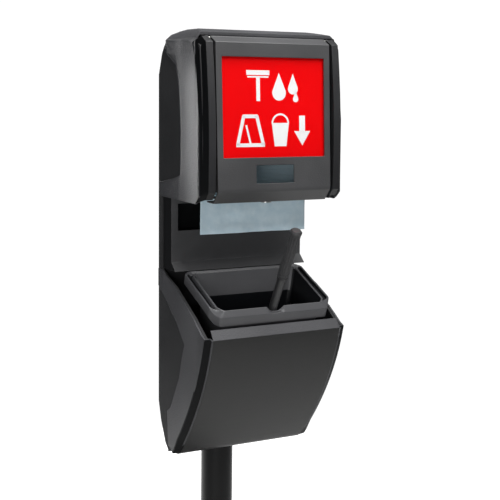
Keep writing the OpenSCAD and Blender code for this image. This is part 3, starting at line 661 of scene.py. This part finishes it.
tree, given, out = group("towel_stack_tree", [
    ("Leaves", "NodeSocketInt"), ("Leaf height", "NodeSocketFloat"), ("First leaf", "NodeSocketFloat"),
    ("Out of line", "NodeSocketFloat"), ("Paper", "NodeSocketMaterial")])
start = add(tree, "ShaderNodeCombineXYZ", {"Z": given["First leaf"]})
step = add(tree, "ShaderNodeCombineXYZ", {"Z": given["Leaf height"]})
line = add(tree, "GeometryNodeMeshLine", {"Count": given["Leaves"], "Start Location": start.outputs[0],
                                          "Offset": step.outputs[0]})
most = add(tree, "ShaderNodeCombineXYZ", {"X": given["Out of line"], "Y": given["Out of line"]})
least = add(tree, "ShaderNodeVectorMath", {0: most.outputs[0]}, operation="SCALE")
feed(tree, least, {"Scale": -1.0})
shift = add(tree, "FunctionNodeRandomValue", {"Seed": 7, "Min": least.outputs[0], "Max": most.outputs[0]},
            data_type="FLOAT_VECTOR")
moved = add(tree, "GeometryNodeSetPosition", {"Geometry": line.outputs["Mesh"],
                                              "Offset": shift.outputs["Value"]})
laid = add(tree, "GeometryNodeInstanceOnPoints", {"Points": moved.outputs["Geometry"],
                                                  "Instance": given["Geometry"]})
real = add(tree, "GeometryNodeRealizeInstances", {"Geometry": laid.outputs["Instances"]})
paint = add(tree, "GeometryNodeSetMaterial", {"Geometry": real.outputs["Geometry"],
                                              "Material": given["Paper"]})
feed(tree, out, {"Geometry": paint.outputs["Geometry"]})

# The same paper in bulk, with a faint painted glow so that the stack shows lit inside the case
leaf_paper_painted_glow = moulded_plastic("folded_towel_paper_painted_glow", "a9c0cb", "bfd3dc", 0.9, 1.5, 0.1, specular=0.2)
feed(leaf_paper_painted_glow.node_tree, leaf_paper_painted_glow.node_tree.nodes["Principled BSDF"],
     {"Emission Color": srgb("a9c4cc"), "Emission Strength": 0.035})
stack = grown(folded_leaf(), tree, {"Leaves": LEAVES, "Leaf height": LEAF_H, "First leaf": TRAY_Z + 0.0055,
                                    "Out of line": 0.0012, "Paper": leaf_paper_painted_glow})
stack.name = "towel_stack_leaves"
finish_piece(stack, "housing", leaf_paper_painted_glow, ("towel_stack",))


# ---------- bucket ----------
# Injection-moulded satin-black pail, leaned forward on its seat: a rim rolled over a skirt, bevelled
# at the front, with a raised outer lip along the sides, a notch for the handle, and a stepped basin.
TILT = math.radians(14.0)
FALL = math.tan(math.radians(9.0))
RIM_D, RIM_Z = DEPTH - 13.0, TUB - 57.0
RIM_LEN = 154.5
RIM_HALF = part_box("bucket")[1][0] * 1000.0
MOUTH_HALF = RIM_HALF - 19.0
REAR_W, FRONT_W, DEEP, WALL = 11.0, 10.0, 165.0, 2.5
NOTCH_X, NOTCH_HALF, NOTCH_FLAT, NOTCH_DEEP = 4.0, 20.0, 8.5, 10.0
# The front half of the side lip stands a little proud of the rear half
LIP_FROM, LIP_TO, LIP_PROUD = 20.0, 82.0, 0.9


def in_bucket(x, y, z):
    """A point of the leaned bucket's own frame: x across, y back from the rim's front, z up."""
    back = y * math.cos(TILT) - z * math.sin(TILT)
    up = y * math.sin(TILT) + z * math.cos(TILT)
    return at(x, RIM_D - back, RIM_Z + up)


# Stretches of the outline: front, front corner, chamfer, corner, side, corner, rear chamfer, corner, rear
STRETCHES = [((0, 1), 40), ((1, 6), 5), ((6, 7), 6), ((7, 12), 5), ((12, 13), 30), ((13, 18), 5),
             ((18, 19), 4), ((19, 24), 5), ((24, 25), 20)]


def rim_outline(half, front, back, chamfer_x, chamfer_y, rear_chamfer, radius):
    """Half of the eight-cornered rim, from the middle of the front round to the middle of the rear,
    each of its stretches cut into a set number of steps."""
    path = eased([(0, front), (half - chamfer_x, front), (half, front + chamfer_y),
                  (half, back - rear_chamfer), (half - rear_chamfer, back), (0, back)], radius)
    out = []
    for (a, b), count in STRETCHES:
        out += resampled(path[a:b + 1], count + 1)[:-1]
    return out + [path[-1]]


outer_line = rim_outline(RIM_HALF, 0.0, RIM_LEN, 17.0, 22.0, 10.0, 4.0)
mouth_line = rim_outline(MOUTH_HALF, FRONT_W, RIM_LEN - REAR_W, 9.0, 12.0, 8.0, 3.0)
step_line = rim_outline(MOUTH_HALF - 12.0, FRONT_W + 1.0, RIM_LEN - REAR_W - 20.0, 7.0, 10.0, 7.0, 3.0)
foot_line = rim_outline(MOUTH_HALF - 17.0, FRONT_W + 5.0, RIM_LEN - REAR_W - 24.0, 7.0, 10.0, 7.0, 3.0)

# Section of the rim, from the skirt's foot over the top to the mouth: share of the way in and
# height, for the front, the sides and the rear
SECTION = [((0.00, -28.0), (0.00, -19.0), (0.00, -12.0)), ((0.00, -11.5), (0.00, -3.0), (0.00, -3.0)),
           ((0.01, -9.6), (0.01, -0.8), (0.03, -0.6)), ((0.06, -8.4), (0.05, 0.2), (0.10, 0.0)),
           ((0.68, -2.2), (0.17, 0.2), (0.22, 0.0)), ((0.74, -0.9), (0.22, -1.2), (0.34, -1.6)),
           ((0.79, -0.2), (0.28, -6.0), (0.55, -3.4)), ((0.84, 0.2), (0.68, -7.0), (0.75, -3.0)),
           ((0.88, 0.2), (0.76, -1.0), (0.84, -0.3)), ((0.94, 0.1), (0.82, 0.0), (0.90, 0.0)),
           ((0.98, -0.4), (0.95, 0.0), (0.96, -0.4)), ((1.00, -1.4), (1.00, -1.4), (1.00, -1.6))]
WAY, RISE = 0, 1


def section(k, p, part):
    """The way in or the rise of the section's row k at a rim point, blended round the corners."""
    front = min(max(1.0 - (p.y - 10.0) / 12.0, 0.0), 1.0)
    rear = min(max((p.y - RIM_LEN + 12.0) / 8.0, 0.0), 1.0)
    shares = (front, max(1.0 - front - rear, 0.0), rear)
    return sum(w * SECTION[k][i][part] for i, w in enumerate(shares))


def notch_drop(x, y):
    """How far the notch lowers the front edge at this place."""
    if y > 30.0:
        return 0.0
    away = abs(x - NOTCH_X)
    return NOTCH_DEEP * min(max((NOTCH_HALF - away) / (NOTCH_HALF - NOTCH_FLAT), 0.0), 1.0)


def mirrored(half_of):
    """A whole ring from its two halves, each given by its side's sign."""
    return half_of(1.0) + list(reversed(half_of(-1.0)))[1:-1]


def rim_ring(k):
    """The ring of the section's row k, with the notch cut and the lip raised."""
    def half_of(sign):
        ring = []
        for p, q in zip(outer_line, mouth_line):
            way = section(k, p, WAY)
            m = p.lerp(q, way)
            z = m.y * FALL + section(k, p, RISE)
            if k > 0:
                z = max(z - notch_drop(sign * m.x, m.y) * min(way * 1.6, 1.0), -26.0)
            if LIP_FROM < m.y < LIP_TO and way < 0.3:
                z += LIP_PROUD * min(1.0, (LIP_TO - m.y) / 3.0) * min(1.0, (m.y - LIP_FROM) / 6.0)
            ring.append((sign * m.x, m.y, z))
        return ring
    return mirrored(half_of)


def under_ring(way, rise_of):
    """A ring under the rim at a share of the way from its outline to its mouth."""
    def half_of(sign):
        points = [(p.lerp(q, way), rise_of(p)) for p, q in zip(outer_line, mouth_line)]
        return [(sign * m.x, m.y, m.y * FALL + rise) for m, rise in points]
    return mirrored(half_of)


def basin_ring(path, height, sloped=False):
    """A ring of the basin, level or following the rim's slope."""
    return mirrored(lambda sign: [(sign * p.x, p.y, (p.y * FALL if sloped else 0.0) + height) for p in path])


def widened(path):
    """The outside of a basin line, a wall away."""
    middle = Vector((0.0, RIM_LEN / 2.0))
    return [middle + (p - middle) * (1.0 + WALL / 90.0) for p in path]


# Over the rim and down inside: mouth, step, foot, and the floor drawn to its middle
inside = [rim_ring(k) for k in range(len(SECTION))]
inside += [basin_ring(step_line, -40.0, True), basin_ring(foot_line, -DEEP + 8.0),
           basin_ring([p * 0.97 + Vector((0, 2.0)) for p in foot_line], -DEEP + 4.0)]
# And up outside, back to the skirt's foot
outside = [basin_ring(widened(foot_line), -DEEP), basin_ring(widened(step_line), -43.0, True),
           under_ring(0.82, lambda p: -14.0), under_ring(0.16, lambda p: section(0, p, RISE))]
bm = bmesh.new()
inside_rows, outside_rows = ([[bm.verts.new(in_bucket(*p)) for p in ring] for ring in rings]
                             for rings in (inside, outside))
bridge(bm, inside_rows)
# The groove behind the side lip, and the basin apart from its rear slope, are painted near-black as shade
GROOVE_ROWS, SLOPE_ROW = (5, 6), len(SECTION) - 1
painted_shade_faces = []
whole_rim = outer_line + outer_line[::-1][1:-1]
for row in range(len(inside_rows) - 1):
    for i, p in enumerate(whole_rim):
        rear = p.y > RIM_LEN - 6.0
        side = LIP_FROM < p.y < RIM_LEN - 6.0
        if (row in GROOVE_ROWS and side) or (row == SLOPE_ROW and not rear) or row > SLOPE_ROW:
            painted_shade_faces.append(row * len(whole_rim) + i)
bm.faces.new(inside_rows[-1])
bridge(bm, outside_rows + [inside_rows[0]])
bm.faces.new(outside_rows[0])
bucket = piece_from("bucket_moulded", bm, 34.0)
# Satin polypropylene, polished by hands and water, and a near-black copy of it that paints shade in the
# groove and the basin
bucket_black = moulded_plastic("satin_black_bucket", "4a4a4c", "525254", 0.40, 0.5, 0.02, specular=0.6)
painted_shade_bucket_black = moulded_plastic("painted_shade_bucket_polypropylene", "08090b", "0c0d10", 0.35, 0.6, 0.02, specular=0.25)
finish_piece(bucket, "bucket", bucket_black, ("bucket",))
bucket.data.materials.append(painted_shade_bucket_black)
# Painted shade: the groove and the basin take the near-black material
for index in painted_shade_faces:
    bucket.data.polygons[index].material_index = 1


# ---------- squeegee shaft, grip, head and blade ----------
# Moulded polymer shaft, collar, end cap and head, with a ribbed rubber sleeve for a grip and a rubber
# blade along the head. The CAD shapes are right as they are.

# Satin polymer, matt grey-black grip rubber and darker blade rubber
handle_black = moulded_plastic("handle_polymer", "2a2a2b", "303031", 0.42, 0.6, 0.02)
grip_rubber = moulded_plastic("grip_rubber", "333334", "3b3b3c", 0.62, 0.8, 0.05, specular=0.35)
blade_rubber = moulded_plastic("blade_rubber", "0d0d0d", "141414", 0.60, 0.6, 0.02)
clad(handle_black, "squeegee_shaft", "squeegee_head", "squeegee_collar", "squeegee_end_cap")
clad(grip_rubber, "squeegee_grip")
clad(blade_rubber, "squeegee_blade")


# ---------- squeegee sponge ----------
# Open-cell sponge in a knotted nylon net, 4 mm to the mesh, fixed along the squeegee's head. It is
# rounded and swollen out of the CAD's block.
NET = 4.0
sponge_net, tree, shader = new_material("net_covered_sponge")
cells = add(tree, "ShaderNodeTexVoronoi", {"Vector": add(tree, "ShaderNodeTexCoord").outputs["Object"],
                                           "Scale": 1000.0 / NET}, feature="DISTANCE_TO_EDGE")
ramp = add(tree, "ShaderNodeValToRGB", {"Fac": cells.outputs["Distance"]})
for stop, position, colour in zip(ramp.color_ramp.elements, (0.04, 0.12), ("3b3a30", "8a7840")):
    stop.position, stop.color = position, srgb(colour)
bump = add(tree, "ShaderNodeBump", {"Distance": 0.0008, "Height": cells.outputs["Distance"]}, invert=True)
feed(tree, shader, {"Base Color": ramp.outputs["Color"], "Normal": bump.outputs["Normal"],
                    "Roughness": 0.95})
pad = softened("sponge_pad", "squeegee_sponge", 0.0042, segments=5)
swell = pad.modifiers.new("fine", "SUBSURF")
swell.levels = swell.render_levels = 1
finish_piece(pad, "squeegee", sponge_net, ("squeegee_sponge",))


# ---------- floor, light and camera ----------
# A pale round floor. Behind the object it is lit from within, so that it runs white into the
# backdrop, which is white to the camera and dim to everything else.
WHITE = (1, 1, 1, 1)
floor_mat, tree, shader = new_material("pale_floor")
split = add(tree, "ShaderNodeSeparateXYZ", {0: add(tree, "ShaderNodeTexCoord").outputs["Object"]})
behind = add(tree, "ShaderNodeMapRange", {"From Min": 0.1, "From Max": 0.8, "To Min": 0.06, "To Max": 0.95,
                                          "Value": split.outputs["Y"]}, interpolation_type="SMOOTHSTEP")
feed(tree, shader, {"Base Color": srgb("f4f4f2"), "Roughness": 0.8, "Emission Color": WHITE,
                    "Emission Strength": behind.outputs["Result"]})
bm = bmesh.new()
bmesh.ops.create_circle(bm, cap_ends=True, radius=1.7, segments=96)
floor = piece_from("floor", bm)
floor.data.materials.append(floor_mat)

world = bpy.data.worlds.new("studio")
bpy.context.scene.world = world
world.use_nodes = True
tree = world.node_tree
tree.nodes.clear()
seen = add(tree, "ShaderNodeBackground", {"Color": WHITE, "Strength": 1.05})
fill = add(tree, "ShaderNodeBackground", {"Color": (0.93, 0.95, 1, 1), "Strength": 0.16})
to_camera = add(tree, "ShaderNodeLightPath").outputs["Is Camera Ray"]
mix = add(tree, "ShaderNodeMixShader", {0: to_camera, 1: fill.outputs[0], 2: seen.outputs[0]})
add(tree, "ShaderNodeOutputWorld", {0: mix.outputs[0]})


def softbox(name, place, aim, width, height, watts):
    """A rectangular area light at a place, turned to a point and hidden from the camera."""
    light = bpy.data.lights.new(name, "AREA")
    light.shape = "RECTANGLE"
    light.size, light.size_y = width, height
    light.energy = watts
    obj = bpy.data.objects.new(name, light)
    obj.location = place
    obj.rotation_euler = (Vector(aim) - Vector(place)).to_track_quat("-Z", "Y").to_euler()
    bpy.context.collection.objects.link(obj)
    obj.visible_camera = False


softbox("key", (0.35, -1.5, 2.7), (0, -0.15, 1.1), 1.2, 1.0, 36)
softbox("overhead", (0.0, -0.45, 2.8), (0, -0.15, 1.2), 1.2, 0.8, 40)
softbox("left_fill", (-1.7, -2.3, 0.9), (0, -0.1, 0.95), 1.0, 1.2, 20)
softbox("back_strip", (-0.12, 2.6, 1.35), (-0.1, 0, 1.15), 0.22, 1.3, 17)

camera_data = bpy.data.cameras.new("camera")
camera_data.lens = 79.2
camera_data.sensor_width = 36.0
camera = bpy.data.objects.new("camera", camera_data)
bpy.context.collection.objects.link(camera)
# Stood to the left and above, turned right by the yaw and down by the pitch
place = Vector((-1.0409, -2.1134, 1.2953))
yaw, pitch, roll = math.radians(27.876), math.radians(8.567), math.radians(0.734)
forward = Vector((math.sin(yaw) * math.cos(pitch), math.cos(yaw) * math.cos(pitch), -math.sin(pitch)))
level = Vector((math.cos(yaw), -math.sin(yaw), 0.0))
right = math.cos(roll) * level + math.sin(roll) * level.cross(forward)
up = right.cross(forward)
camera.matrix_world = Matrix([(right[i], up[i], -forward[i], place[i]) for i in range(3)] + [(0, 0, 0, 1)])
bpy.context.scene.camera = camera
bpy.context.scene.view_settings.view_transform = "Standard"
